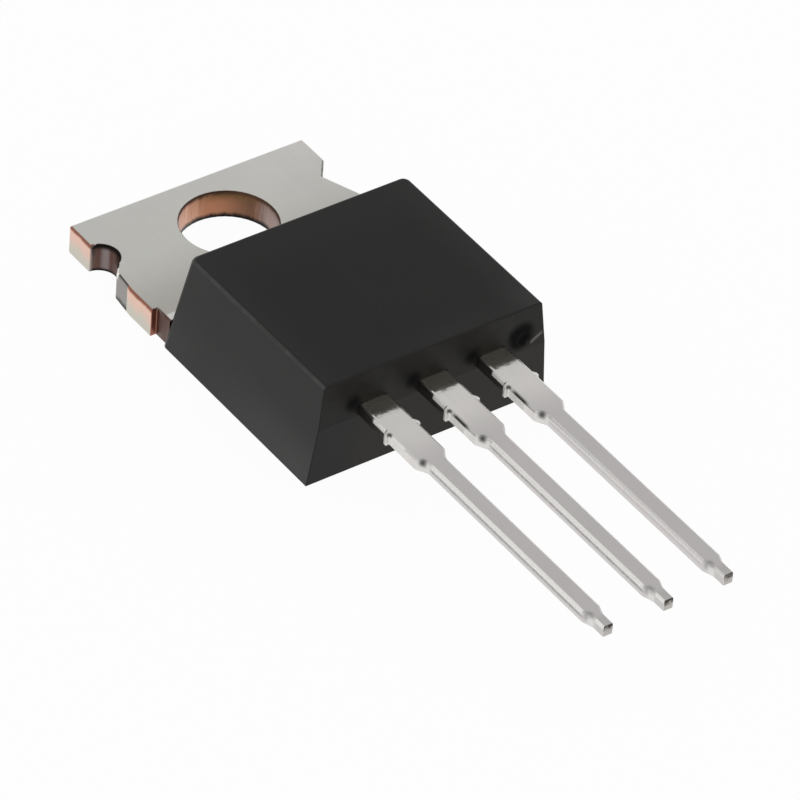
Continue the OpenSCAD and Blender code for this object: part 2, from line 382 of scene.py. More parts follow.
def recess_brown(tree, side, y, marks):
    """Stained step between the tie bar stub and the moulding."""
    mask = both(tree, above(tree, side, tab_side - 0.2 * MM, 0.02 * MM),
                below(tree, y, stub_front + 0.02 * MM, 0.02 * MM))
    return mask, blend_colour(tree, marks, RECESS_BROWN, NOTCH_BROWN)


def from_lead_middle(tree, x):
    """Offset to the right of the nearest lead's middle."""
    nearest = calc(tree, "MULTIPLY", calc(tree, "ROUND", calc(tree, "DIVIDE", x, lead_pitch)), lead_pitch)
    return calc(tree, "SUBTRACT", x, nearest)


def output_share(tree, x, there, elsewhere):
    """One strength on the output lead and another on the other two."""
    return blend_value(tree, above(tree, x, lead_pitch / 2, 0.1 * MM), elsewhere, there)


def height_in_lead(tree, z):
    """0 on the leads' underside and 1 on their top."""
    return calc(tree, "DIVIDE", calc(tree, "SUBTRACT", z, lead_top - LEAD_T), LEAD_T)


def taper_facets(tree, y, z, reach, across, along, left_half, mottle):
    """Facets of the shoulders and of the tapered tips, those of the tips bruised dark near the top."""
    mask = both(tree, above(tree, across, 0.45, 0.1), above(tree, along, 0.2, 0.06))
    shoulder = within(tree, reach, SHOULDER_FROM - 0.1 * MM, SHOULDER_END, 0.05 * MM)
    tip = below(tree, y, tip_y + 0.8 * MM, 0.1 * MM)
    bruise = above(tree, calc(tree, "MULTIPLY_ADD", mottle, 0.25, height_in_lead(tree, z)), 0.85, 0.3)
    bruise = both(tree, calc(tree, "MULTIPLY", bruise, 0.4), tip, left_half)
    return both(tree, mask, either(tree, shoulder, tip)), blend_colour(tree, bruise, FACET_GREY, FACET_DARK)


def shoulder_shade_spot(tree, off_middle, reach, z, left_half):
    """Painted shade: a soft dark spot on the upper edge of each left shoulder."""
    aside = calc(tree, "SUBTRACT", off_middle, 0.5 * MM)
    onward = calc(tree, "SUBTRACT", reach, SHOULDER_FROM + 0.24 * MM)
    mask = both(tree, left_half, below(tree, distance(tree, aside, onward), 0.13 * MM, 0.1 * MM),
                above(tree, height_in_lead(tree, z), 0.55, 0.25))
    return mask, FACET_DARK


def stub_root_spots(tree, off_middle, reach, z, left_half):
    """Small dark spot at the root of each left dam bar stub."""
    aside = calc(tree, "SUBTRACT", off_middle, LEAD_HALF + 0.02 * MM)
    onward = calc(tree, "SUBTRACT", reach, DAM_END + 0.02 * MM)
    mask = both(tree, below(tree, distance(tree, aside, onward), 0.09 * MM, 0.05 * MM),
                above(tree, z, lead_top - 0.1 * MM, 0.05 * MM), left_half)
    return mask, FACET_DARK


def stub_dark_reflections(tree, x, off_middle, reach, z, left_half):
    """Painted dark reflection in a thin strip along the top edge, just past the stub, on the ground and the
    output lead.
    """
    mask = both(tree, above(tree, x, -lead_pitch / 2, 0.1 * MM), left_half,
                above(tree, off_middle, LEAD_HALF - 0.1 * MM, 0.01 * MM),
                within(tree, reach, DAM_END + 0.2 * MM, DAM_END + 1.05 * MM, 0.2 * MM),
                within(tree, height_in_lead(tree, z), 0.75, 0.96, 0.06))
    return mask, DARK_PITS_AND_REFLECTION


def root_sides(tree, reach, z, across):
    """Sides of a lead next to the moulding: in deep shade, bright over the rolled upper edge."""
    shade = both(tree, above(tree, across, 0.6, 0.15), below(tree, reach, DAM_END - 0.3 * MM, 0.05 * MM))
    lit = both(tree, above(tree, height_in_lead(tree, z), 0.58, 0.06),
               above(tree, reach, 0.85 * MM, 0.06 * MM))
    return shade, lit


def right_edge_highlight(tree, x, from_middle, reach, up):
    """Painted highlight along the right top edge of each lead's wide part, strongest on the output lead."""
    return both(tree, above(tree, from_middle, LEAD_HALF - 0.075 * MM, 0.025 * MM),
                within(tree, reach, 0.8 * MM, DAM_END + 0.15 * MM, 0.12 * MM),
                above(tree, up, 0.2, 0.1), output_share(tree, x, 0.95, 0.45))


def rolled_side_highlights(tree, x, y, z, reach, across):
    """Painted highlight over the rolled upper part of the thin sides and the nubs, faintest on the output
    lead.
    """
    thin = both(tree, above(tree, reach, SHOULDER_END, 0.15 * MM), above(tree, across, 0.3, 0.12))
    taper = within(tree, y, tip_y + 0.5 * MM, tip_y + 1.05 * MM, 0.08 * MM)
    return both(tree, thin, above(tree, height_in_lead(tree, z), 0.67, 0.05),
                output_share(tree, x, 0.3, 0.95), invert(tree, taper))


def side_lines(tree, x, y, z, reach, across, mottle):
    """Broken dark line below the rolled part of the thin lengths' sides."""
    thin = both(tree, above(tree, reach, SHOULDER_END, 0.15 * MM), above(tree, across, 0.6, 0.12),
                above(tree, y, tip_y + 1.0 * MM, 0.1 * MM))
    broken = calc(tree, "MULTIPLY_ADD", mottle, -0.5, 1.0)
    mask = both(tree, thin, within(tree, height_in_lead(tree, z), 0.38, 0.63, 0.06),
                output_share(tree, x, 0.3, 0.9), broken)
    return mask, SIDE_LINE


def tip_bruise(tree, off_middle, y, z, left_half):
    """Soft grey bruise over the left taper of each tip."""
    aside = calc(tree, "SUBTRACT", off_middle, 0.3 * MM)
    onward = calc(tree, "SUBTRACT", y, tip_y + 0.76 * MM)
    mask = both(tree, left_half, below(tree, distance(tree, aside, onward), 0.16 * MM, 0.13 * MM),
                above(tree, height_in_lead(tree, z), 0.4, 0.3))
    return calc(tree, "MULTIPLY", mask, 0.75), TIP_GREY


def pale_sides(tree, reach, across):
    """Dull part of the lead's sides just past the dam bar stubs, made pale with painted light."""
    return both(tree, above(tree, across, 0.6, 0.15),
                within(tree, reach, DAM_END + 0.02 * MM, DAM_END + 0.9 * MM, 0.05 * MM))


def cut_lead_end(tree, y, z, along, mottle):
    """Cut end of each lead: pale below, pitted along the upper edge."""
    mask = both(tree, above(tree, along, 0.6, 0.1), below(tree, y, tip_y + 0.1 * MM, 0.02 * MM))
    pits = above(tree, calc(tree, "MULTIPLY_ADD", mottle, 0.5, height_in_lead(tree, z)), 0.9, 0.3)
    return mask, blend_colour(tree, pits, CUT_END, DARK_PITS_AND_REFLECTION)


def bowed_leads(tree, reach, dents):
    """Normal of lead tops that droop slightly away from the moulding, with shallow dents."""
    to_shoulder = calc(tree, "SUBTRACT", SHOULDER_FROM, calc(tree, "MAXIMUM", reach, 0.0))
    to_shoulder = calc(tree, "MAXIMUM", to_shoulder, 0.0)
    droop = calc(tree, "MULTIPLY", calc(tree, "MULTIPLY", to_shoulder, to_shoulder), 13.0)
    height = calc(tree, "MULTIPLY_ADD", dents, 0.006 * MM, droop)
    return add_node(tree, "ShaderNodeBump", Strength=1.0, Distance=1.0, Height=height).outputs[0]


def tin_colour(tree, place, x, y, z, up, reach, on_tab, lines):
    """Tin over the sheet: whitest on the wide part of the leads, which is painted reflection, greyer on
    their thin part and the tab, with painted shade on the tab next to the moulding and a painted highlight
    on the leads' rounded edges.
    """
    patch = use_group(tree, SOFT_PATCHES, Vector=place, Patches_per_mm=0.3).outputs["Patch"]
    # Painted reflection: the wide part of the leads whiter than the thin part
    lead = blend_colour(tree, above(tree, reach, 2.9 * MM, 1.1 * MM), TIN_WIDE, TIN_LEAD)
    lead = blend_colour(tree, below(tree, reach, 0.7 * MM, 0.3 * MM), lead, TIN_STAINED)
    far_end = above(tree, y, 1.0 * MM, 2.0 * MM)
    to_right = calc(tree, "MULTIPLY_ADD", above(tree, x, 0.0, 4.0 * MM), 0.55, 0.22)
    # Painted shade on the tab next to the moulding
    near_body = below(tree, y, body_back + 1.9 * MM, 1.7 * MM)
    tab = blend_colour(tree, both(tree, far_end, to_right), TIN_TAB, TIN_EDGE)
    tab = blend_colour(tree, near_body, tab, TIN_SHADE)
    on_tip = below(tree, y, tip_y + 0.5 * MM, 0.15 * MM)
    lead = blend_colour(tree, calc(tree, "MULTIPLY", on_tip, 0.5), lead, TIN_STREAK)
    # Painted highlight on the leads' rounded edges
    lead = blend_colour(tree, calc(tree, "MULTIPLY", within(tree, up, 0.2, 0.88, 0.1), 0.5), lead, TIN_EDGE)
    colour = blend_colour(tree, on_tab, lead, tab)
    streaks = calc(tree, "MULTIPLY", lines, blend_value(tree, on_tab, 0.06, 0.08))
    colour = blend_colour(tree, streaks, colour, TIN_STREAK)
    colour = blend_colour(tree, calc(tree, "MULTIPLY", patch, 0.2), colour, TIN_STREAK)
    beside_body = both(tree, on_tab, below(tree, y, body_back + 0.14 * MM, 0.05 * MM),
                       above(tree, z, tab_t / 2, 0.1 * MM))
    return blend_colour(tree, beside_body, colour, TIN_EDGE)


def paint_marks(tree, colour, painted, where, marks):
    """Paints each mark over the colour in its own region, and adds its mask to those already painted."""
    for mask, paint in marks:
        mask = both(tree, mask, where)
        colour = blend_colour(tree, mask, colour, paint)
        painted.append(mask)
    return colour


def tin_gloss(tree, up, reach, off_middle, on_lead, painted, dull_side, lines):
    """Roughness and metal share: glossy tin, duller marks, and dull stubs, edges and sides on the leads."""
    root = both(tree, on_lead, below(tree, reach, 1.0 * MM, 0.1 * MM), above(tree, up, 0.8, 0.1))
    stub = both(tree, above(tree, off_middle, LEAD_HALF + 0.012 * MM, 0.01 * MM),
                within(tree, reach, DAM_END - 0.4 * MM, DAM_END + 0.12 * MM, 0.02 * MM))
    edge = both(tree, on_lead, within(tree, up, 0.2, 0.88, 0.1), above(tree, reach, DAM_END, 0.1 * MM))
    rough = calc(tree, "MULTIPLY_ADD", lines, 0.05, blend_value(tree, on_lead, 0.3, 0.08))
    rough = blend_value(tree, either(tree, *painted), rough, 0.38)
    rough = blend_value(tree, either(tree, stub, dull_side, edge), rough, 0.5)
    metal = blend_value(tree, stub, blend_value(tree, root, 1.0, 0.95), 0.6)
    metal = blend_value(tree, edge, metal, 0.7)
    metal = blend_value(tree, dull_side, metal, 0.3)
    return rough, metal


def plated_copper():
    """Bright tin over copper, bare copper where the sheet was sheared."""
    material, tree, shader = new_material("plated_copper")
    place, x, y, z = object_place(tree)
    across, along, up = facing(tree)
    side = calc(tree, "ABSOLUTE", x)
    height = calc(tree, "DIVIDE", z, tab_t)
    reach = calc(tree, "SUBTRACT", body_front, y)
    from_middle = from_lead_middle(tree, x)
    off_middle = calc(tree, "ABSOLUTE", from_middle)
    left_half = below(tree, from_middle, 0.0, 0.05 * MM)
    on_tab = above(tree, y, body_front + 1.0 * MM, 0.5 * MM)
    on_lead = invert(tree, on_tab)
    tab_walls = both(tree, below(tree, up, 0.9, 0.07), on_tab)
    lines = use_group(tree, ROLLED_LINES, Vector=place, Lines_per_mm=4.5).outputs["Lines"]
    mottle = use_group(tree, SOFT_PATCHES, Vector=place, Patches_per_mm=7.0).outputs["Patch"]
    dents = use_group(tree, SOFT_PATCHES, Vector=place, Patches_per_mm=1.1).outputs["Patch"]
    shear = add_node(tree, "ShaderNodeTexNoise", Vector=scaled_place(tree, place, (3.2, 3.2, 0.35)),
                     Scale=1.0, Detail=3.0, Roughness=0.6)
    marks = above(tree, shear.outputs[0], 0.5, 0.2)

    colour = tin_colour(tree, place, x, y, z, up, reach, on_tab, lines)
    painted = []
    colour = paint_marks(tree, colour, painted, tab_walls, [
        recess_brown(tree, side, y, marks),
        flank_grey(tree, side, y, height, marks),
        side_copper(tree, side, y, height, marks),
        stub_end(tree, side, y, along),
        hole_copper(tree, x, y, height, marks),
        notch_copper(tree, x, y, height, marks),
        burr_highlight(tree, x, y, height),
        vee_grey(tree, x, y, marks),
    ])
    shade, lit = root_sides(tree, reach, z, across)
    pale = pale_sides(tree, reach, across)
    rolled = rolled_side_highlights(tree, x, y, z, reach, across)
    edge_light = right_edge_highlight(tree, x, from_middle, reach, up)
    # The first four marks are painted shade and painted highlights on the leads' sides and edges
    colour = paint_marks(tree, colour, painted, on_lead, [
        (shade, blend_colour(tree, lit, FACET_DARK, TIN_HIGHLIGHT)),
        (pale, TIN_HIGHLIGHT),
        (rolled, TIN_HIGHLIGHT),
        (edge_light, TIN_HIGHLIGHT),
        side_lines(tree, x, y, z, reach, across, mottle),
        tip_bruise(tree, off_middle, y, z, left_half),
        taper_facets(tree, y, z, reach, across, along, left_half, mottle),
        shoulder_shade_spot(tree, off_middle, reach, z, left_half),
        stub_root_spots(tree, off_middle, reach, z, left_half),
        stub_dark_reflections(tree, x, off_middle, reach, z, left_half),
        cut_lead_end(tree, y, z, along, mottle),
    ])
    dull_side = both(tree, either(tree, both(tree, shade, lit), pale, rolled, edge_light), on_lead)
    rough, metal = tin_gloss(tree, up, reach, off_middle, on_lead, painted, dull_side, lines)
    fine = add_node(tree, "ShaderNodeBump", Strength=0.04, Distance=0.004 * MM, Height=lines,
                    Normal=bowed_leads(tree, reach, dents))
    tree.links.new(colour, shader.inputs["Base Color"])
    tree.links.new(rough, shader.inputs["Roughness"])
    tree.links.new(metal, shader.inputs["Metallic"])
    tree.links.new(fine.outputs[0], shader.inputs["Normal"])
    return material


# Other finishes

EPOXY_BLACK = (0.0055, 0.0052, 0.005, 1.0)
EPOXY_GREY = (0.0085, 0.008, 0.0075, 1.0)
EPOXY_BACK = (0.0135, 0.0122, 0.0118, 1.0)
EPOXY_WALL = (0.001, 0.001, 0.0009, 1.0)
EPOXY_UPPER = (0.009, 0.0075, 0.006, 1.0)
EPOXY_LOW = (0.0078, 0.0057, 0.0032, 1.0)
EPOXY_RIM = (0.0175, 0.0162, 0.0155, 1.0)
# Near black: painted shade on the front wall, and the gate scar's broken epoxy
EPOXY_SCAR_AND_SHADE = (0.0012, 0.0011, 0.001, 1.0)
EPOXY_FILLER = (0.03, 0.03, 0.028, 1.0)
# Pale grey: painted highlight on the upper side edges, painted light low on the sides, and the paler corner
# of the top
EPOXY_PALE_AND_HIGHLIGHT = (0.06, 0.06, 0.0585, 1.0)
# Lighter copy of the black for the side walls: painted light
EPOXY_SIDE = (0.014, 0.0138, 0.013, 1.0)
# Painted highlight on the gate's ridge
EPOXY_RIDGE_HIGHLIGHT = (0.12, 0.115, 0.1, 1.0)
WIRE_BRIGHT = (0.86, 0.86, 0.87, 1.0)
WIRE_DULL = (0.7, 0.7, 0.72, 1.0)
SOLDER_DARK = (0.5, 0.5, 0.5, 1.0)
SOLDER_PALE = (0.68, 0.68, 0.69, 1.0)
CHIP_BLUE = (0.16, 0.18, 0.24, 1.0)
CHIP_VIOLET = (0.22, 0.2, 0.26, 1.0)
CHIP_LINES = (0.36, 0.36, 0.38, 1.0)
GATE_X = 3.9 * MM


def scar_and_shade_spots(tree, x, z, blotch):
    """Dark spots of the front wall: the gate scar, broken rough epoxy darkened further with painted shade,
    and painted shade in the corner beside each lead.
    """
    gate = distance(tree, calc(tree, "SUBTRACT", x, GATE_X - 0.1 * MM),
                    calc(tree, "SUBTRACT", z, lead_top + 0.16 * MM))
    spots = [below(tree, calc(tree, "MULTIPLY_ADD", blotch, 0.12 * MM, gate), 0.58 * MM, 0.22 * MM)]
    for lead_x in (-lead_pitch, 0.0, lead_pitch):
        beside = distance(tree, calc(tree, "SUBTRACT", x, lead_x - 0.86 * MM),
                          calc(tree, "SUBTRACT", z, lead_top + 0.15 * MM))
        spots.append(below(tree, beside, 0.28 * MM, 0.22 * MM))
    return either(tree, *spots)


def gate_ridge_highlight(tree, x, z, wall):
    """Painted highlight on the broken-off ridge that the gate left beside its scar."""
    along = calc(tree, "SUBTRACT", x, GATE_X + 0.56 * MM)
    rise = calc(tree, "SUBTRACT", z, lead_top - 0.14 * MM)
    off_line = calc(tree, "ABSOLUTE", calc(tree, "MULTIPLY_ADD", along, -0.55, rise))
    return both(tree, wall, below(tree, off_line, 0.07 * MM, 0.04 * MM),
                below(tree, calc(tree, "ABSOLUTE", along), 0.24 * MM, 0.06 * MM))


def top_rims(tree, x, y, up):
    """Paler rims of the top: the right side most, the left and the front less."""
    right = above(tree, x, 3.9 * MM, 1.0 * MM)
    left = calc(tree, "MULTIPLY", below(tree, x, -4.0 * MM, 0.7 * MM), 0.5)
    front = both(tree, below(tree, y, body_front + 0.8 * MM, 0.6 * MM), above(tree, x, -1.0 * MM, 1.5 * MM))
    corner = both(tree, right, below(tree, y, body_front + 1.3 * MM, 1.0 * MM))
    on_top = above(tree, up, 0.9, 0.05)
    rims = either(tree, right, left, calc(tree, "MULTIPLY", front, 0.45))
    return both(tree, on_top, rims), both(tree, on_top, calc(tree, "MULTIPLY", corner, 0.3))


def wall_colour(tree, x, z, blotch):
    """Front wall: blotchy above the leads, browner below them and darkest at the lower left."""
    upper = blend_colour(tree, calc(tree, "MULTIPLY", blotch, 0.7), EPOXY_UPPER, EPOXY_WALL)
    left = calc(tree, "MULTIPLY", below(tree, x, -3.2 * MM, 0.8 * MM), 0.9)
    lower = blend_colour(tree, left, EPOXY_LOW, EPOXY_WALL)
    return blend_colour(tree, above(tree, z, lead_top - 0.2 * MM, 0.6 * MM), lower, upper)


def painted_side_light(tree, y, z, across, up, on_side, blotch):
    """Painted light on the sides: a patchy highlight along the upper side edges, and light low on the side
    walls, most towards the front.
    """
    patchy = calc(tree, "MULTIPLY_ADD", blotch, 0.4, 0.6)
    edge = both(tree, within(tree, up, 0.3, 0.92, 0.1), above(tree, across, 0.3, 0.1), patchy)
    toward_front = below(tree, y, body_front + 4.0 * MM, 3.5 * MM)
    low = both(tree, on_side, below(tree, z, 1.4 * MM, 1.2 * MM),
               calc(tree, "MULTIPLY_ADD", toward_front, 0.38, 0.18))
    return either(tree, edge, low)


def moulded_epoxy():
    """Satin black moulding with an even fine grain, with painted highlights along its upper edges, painted
    light on its sides, most low down, and painted shade in spots of the front wall.
    """
    material, tree, shader = new_material("moulded_epoxy")
    place, x, y, z = object_place(tree)
    across, along, up = facing(tree)
    grain = use_group(tree, FINE_GRAIN, Vector=place, Grains_per_mm=16.0)
    patch = use_group(tree, SOFT_PATCHES, Vector=place, Patches_per_mm=0.25).outputs["Patch"]
    blotch = use_group(tree, SOFT_PATCHES, Vector=place, Patches_per_mm=2.0).outputs["Patch"]
    wall = both(tree, above(tree, along, 0.8, 0.1), below(tree, y, body_front + 0.3 * MM, 0.03 * MM))
    # Painted shade at the gate scar and beside each lead's exit
    pitted = both(tree, wall, scar_and_shade_spots(tree, x, z, blotch))
    on_side = above(tree, across, 0.9, 0.05)
    side_light = painted_side_light(tree, y, z, across, up, on_side, blotch)
    # Painted highlight on the rounded front top edge
    front_edge = both(tree, within(tree, up, 0.3, 0.92, 0.1), above(tree, along, 0.3, 0.1),
                      below(tree, y, body_front + 0.5 * MM, 0.05 * MM))
    rims, corner = top_rims(tree, x, y, up)
    toward_back = above(tree, y, body_back - 1.8 * MM, 1.8 * MM)
    colour = blend_colour(tree, patch, EPOXY_BLACK, EPOXY_GREY)
    colour = blend_colour(tree, both(tree, toward_back, above(tree, up, 0.9, 0.05)), colour, EPOXY_BACK)
    colour = blend_colour(tree, either(tree, rims, front_edge), colour, EPOXY_RIM)
    colour = blend_colour(tree, corner, colour, EPOXY_PALE_AND_HIGHLIGHT)
    # Painted light: the side walls lighter than the top
    colour = blend_colour(tree, on_side, colour, EPOXY_SIDE)
    colour = blend_colour(tree, wall, colour, wall_colour(tree, x, z, blotch))
    colour = blend_colour(tree, calc(tree, "MULTIPLY", grain.outputs["Specks"], 0.25), colour, EPOXY_FILLER)
    colour = blend_colour(tree, side_light, colour, EPOXY_PALE_AND_HIGHLIGHT)
    colour = blend_colour(tree, pitted, colour, EPOXY_SCAR_AND_SHADE)
    colour = blend_colour(tree, gate_ridge_highlight(tree, x, z, wall), colour, EPOXY_RIDGE_HIGHLIGHT)
    rough = calc(tree, "MULTIPLY_ADD", grain.outputs["Grain"], 0.1, 0.36)
    rough = calc(tree, "MULTIPLY_ADD", patch, 0.05, rough)
    rough = blend_value(tree, pitted, rough, 1.0)
    bump = add_node(tree, "ShaderNodeBump", Strength=0.2, Distance=0.008 * MM,
                    Height=grain.outputs["Grain"])
    tree.links.new(colour, shader.inputs["Base Color"])
    tree.links.new(rough, shader.inputs["Roughness"])
    tree.links.new(bump.outputs[0], shader.inputs["Normal"])
    shader.inputs["Specular IOR Level"].default_value = 0.2
    return material


def bond_wire():
    """Bright drawn aluminium wire."""
    material, tree, shader = new_material("bond_wire")
    place = object_place(tree)[0]
    lines = use_group(tree, ROLLED_LINES, Vector=place, Lines_per_mm=30.0).outputs["Lines"]
    colour = blend_colour(tree, lines, WIRE_BRIGHT, WIRE_DULL)
    tree.links.new(colour, shader.inputs["Base Color"])
    tree.links.new(calc(tree, "MULTIPLY_ADD", lines, 0.15, 0.2), shader.inputs["Roughness"])
    shader.inputs["Metallic"].default_value = 1.0
    return material


def soft_solder():
    """Dull grey solder with a grainy skin."""
    material, tree, shader = new_material("soft_solder")
    place = object_place(tree)[0]
    grain = use_group(tree, FINE_GRAIN, Vector=place, Grains_per_mm=20.0).outputs["Grain"]
    colour = blend_colour(tree, grain, SOLDER_DARK, SOLDER_PALE)
    tree.links.new(colour, shader.inputs["Base Color"])
    tree.links.new(calc(tree, "MULTIPLY_ADD", grain, 0.2, 0.35), shader.inputs["Roughness"])
    shader.inputs["Metallic"].default_value = 1.0
    return material


def silicon():
    """Polished dark silicon with a faint grid of circuit blocks."""
    material, tree, shader = new_material("silicon")
    place = object_place(tree)[0]
    blocks = add_node(tree, "ShaderNodeTexBrick", Vector=scaled_place(tree, place, (1.0, 1.0, 1.0)),
                      Scale=3.0, Color1=CHIP_BLUE, Color2=CHIP_VIOLET, Mortar=CHIP_LINES)
    tree.links.new(blocks.outputs[0], shader.inputs["Base Color"])
    tree.links.new(calc(tree, "MULTIPLY_ADD", blocks.outputs[1], 0.2, 0.14), shader.inputs["Roughness"])
    shader.inputs["Metallic"].default_value = 0.6
    return material


# Rounding of the solids' edges

SHARP_EDGE = math.radians(25)
FAR = 1000 * MM
BODY_ROUND = 0.16 * MM
METAL_ROUND = 0.12 * MM
STUB_SLANT = 0.11 * MM
RIGHT_STUB_DROP = 0.08 * MM


def inside_box(tree, position, low, high):
    """1 where the middle of an edge lies between two corners."""
    parts = add_node(tree, "ShaderNodeSeparateXYZ", Vector=position)
    masks = []
    for axis in range(3):
        masks.append(calc(tree, "GREATER_THAN", parts.outputs[axis], low[axis]))
        masks.append(calc(tree, "LESS_THAN", parts.outputs[axis], high[axis]))
    return both(tree, *masks)


def sheared_stubs(tree, geometry, position):
    """Slants the side of each dam bar stub that faces the moulding, and lowers the right stubs."""
    parts = add_node(tree, "ShaderNodeSeparateXYZ", Vector=position)
    from_middle = from_lead_middle(tree, parts.outputs[0])
    off_middle = calc(tree, "ABSOLUTE", from_middle)
    reach = calc(tree, "SUBTRACT", body_front, parts.outputs[1])
    stub_tip = LEAD_HALF + 0.1 * MM
    past_root = calc(tree, "GREATER_THAN", reach, DAM_END - 0.3 * MM)
    near_end = both(tree, calc(tree, "GREATER_THAN", off_middle, stub_tip), past_root,
                    calc(tree, "LESS_THAN", reach, DAM_END - 0.1 * MM))
    right_end = both(tree, calc(tree, "GREATER_THAN", from_middle, stub_tip), past_root,
                     calc(tree, "LESS_THAN", reach, DAM_END + 0.1 * MM))
    slanted = add_node(tree, "GeometryNodeSetPosition", Geometry=geometry, Selection=near_end,
                       Offset=(0.0, -STUB_SLANT, 0.0))
    lowered = add_node(tree, "GeometryNodeSetPosition", Geometry=slanted.outputs[0], Selection=right_end,
                       Offset=(-RIGHT_STUB_DROP, 0.0, 0.0))
    return lowered.outputs[0]


def edge_weights(name, places):
    """Modifier tree that marks the sharp edges in some places, each with its share of the widest round."""
    tree = bpy.data.node_groups.new(name + "_edges", "GeometryNodeTree")
    tree.interface.new_socket("Geometry", in_out="INPUT", socket_type="NodeSocketGeometry")
    tree.interface.new_socket("Geometry", in_out="OUTPUT", socket_type="NodeSocketGeometry")
    given = tree.nodes.new("NodeGroupInput")
    result = tree.nodes.new("NodeGroupOutput")
    position = add_node(tree, "GeometryNodeInputPosition").outputs[0]
    angle = add_node(tree, "GeometryNodeInputMeshEdgeAngle").outputs[0]
    sheared = sheared_stubs(tree, given.outputs[0], position)
    weight = 0.0
    for low, high, share in places:
        here = calc(tree, "MULTIPLY", inside_box(tree, position, low, high), share)
        weight = calc(tree, "MAXIMUM", weight, here)
    weight = both(tree, weight, calc(tree, "GREATER_THAN", angle, SHARP_EDGE))
    store = add_node(tree, "GeometryNodeStoreNamedAttribute", {"data_type": "FLOAT", "domain": "EDGE"},
                     Geometry=sheared, Name="bevel_weight_edge", Value=weight)
    tree.links.new(store.outputs[0], result.inputs[0])
    return tree


def weld_points(name):
    """Joins the points that lie on one another, so that no empty faces are left."""
    weld = nodes[name].modifiers.new("weld", "WELD")
    weld.merge_threshold = 0.0002 * MM


def soften_edges(name, width, segments, places):
    """Small round on a solid's chosen edges, after its flat faces are made whole."""
    obj = nodes[name]
    weld_points(name)
    flat = obj.modifiers.new("whole_faces", "DECIMATE")
    flat.decimate_type = "DISSOLVE"
    flat.angle_limit = math.radians(0.5)
    marks = obj.modifiers.new("edge_marks", "NODES")
    marks.node_group = edge_weights(name, places)
    bevel = obj.modifiers.new("edge_round", "BEVEL")
    bevel.width = width
    bevel.segments = segments
    bevel.limit_method = "WEIGHT"
    bevel.use_clamp_overlap = False
    bevel.harden_normals = True
    joined = obj.modifiers.new("join_rounds", "WELD")
    joined.merge_threshold = 0.001 * MM


def body_edges():
    """The moulding's rounded upper side edges and its other edges, nearly sharp."""
    near = 0.05 * MM
    front = body_front + 0.3 * MM
    side = body_high.x - 0.5 * MM
    top = body_high.z - near
    return [
        ((-FAR, -FAR, top), (-MM, FAR, FAR), 1.0),
        ((MM, -FAR, top), (FAR, FAR, FAR), 0.7),
        ((-FAR, body_back - 3 * MM, top), (FAR, FAR, FAR), 0.8),
        ((-FAR, -FAR, top), (FAR, FAR, FAR), 0.4),
        ((side, -FAR, near), (FAR, front, FAR), 0.2),
        ((-FAR, -FAR, near), (-side, front, FAR), 0.2),
        ((-FAR, -FAR, -near), (FAR, front, near), 0.3),
        ((body_high.x - near, -FAR, -near), (FAR, FAR, near), 0.3),
        ((-FAR, -FAR, -near), (near - body_high.x, FAR, near), 0.3),
    ]


def lead_edges():
    """A lead's edges outside the moulding, softer above than below."""
    outside = body_front - 0.05 * MM
    past_stubs = body_front - DAM_END - 0.1 * MM
    near = 0.05 * MM
    return [
        ((-FAR, -FAR, -FAR), (FAR, outside, FAR), 0.3),
        ((-FAR, -FAR, lead_top - near), (FAR, outside, FAR), 0.5),
        ((-FAR, tip_y + 0.7 * MM, lead_top - near), (FAR, past_stubs, FAR), 1.0),
        ((-FAR, body_front - 1.2 * MM, lead_top - near), (FAR, outside, FAR), 1.0),
    ]


def tab_edges():
    """The tab's rolled upper edges, its corners and its nearly sharp lower edges, and the ground lead's."""
    near = 0.05 * MM
    outside = body_back - near
    return lead_edges() + [
        ((beside_hole, outside, tab_t - near), (FAR, FAR, tab_t + near), 1.0),
        ((-FAR, outside, tab_t - near), (-beside_hole, FAR, tab_t + near), 1.0),
        ((-FAR, outside, tab_t - near), (FAR, FAR, tab_t + near), 0.5),
        ((-FAR, outside, near), (FAR, FAR, tab_t - near), 0.35),
        ((-FAR, outside, -near), (FAR, FAR, near), 0.2),
    ]


def dress(name, material):
    """One finish over a whole solid."""
    obj = nodes[name]
    obj.data.materials.clear()
    obj.data.materials.append(material)


def dress_pieces():
    """Finish of every solid, and edge rounding of the moulding, the tab and the leads."""
    finishes = {
        "plated_copper": plated_copper(),
        "solder": soft_solder(),
        "silicon": silicon(),
        "bond_wire": bond_wire(),
        "moulded_epoxy": moulded_epoxy(),
    }
    for piece in frame["record"]["subparts"]:
        dress(piece["node"], finishes[piece["material_slot"]])
    weld_points("ground_wire")
    soften_edges("moulded_body", BODY_ROUND, 4, body_edges())
    soften_edges("tab_and_ground_lead", METAL_ROUND, 3, tab_edges())
    for lead in ("input_lead", "output_lead"):
        soften_edges(lead, METAL_ROUND, 3, lead_edges())


# Stage

FLOOR_WHITE = (0.92, 0.92, 0.92, 1.0)
FLOOR_GLOW = 0.96
FLOOR_GAP = 0.02 * MM
FLOOR_WIDTH = 4000 * MM
PURE_WHITE = (1.0, 1.0, 1.0, 1.0)
CEILING_HEIGHT = 500 * MM
CEILING_WIDTH = 2400 * MM
CEILING_LEVEL = 0.7
LAMP_PLACE = Vector((-183, 172, 140)) * MM
LAMP_SIZE = 200 * MM
LAMP_WATTS = 0.012


def stage_plane(name, size, height, material):
    """A level square of the stage."""
    bpy.ops.mesh.primitive_plane_add(size=size, location=(0, 0, height))
    plane = bpy.context.object
    plane.name = name
    plane.data.materials.append(material)


def mix_shaders(tree, factor, first, second):
    """Mix of two shaders."""
    mix = add_node(tree, "ShaderNodeMixShader")
    for place, value in enumerate((factor, first.outputs[0], second.outputs[0])):
        set_input(tree, mix.inputs[place], value)
    return mix


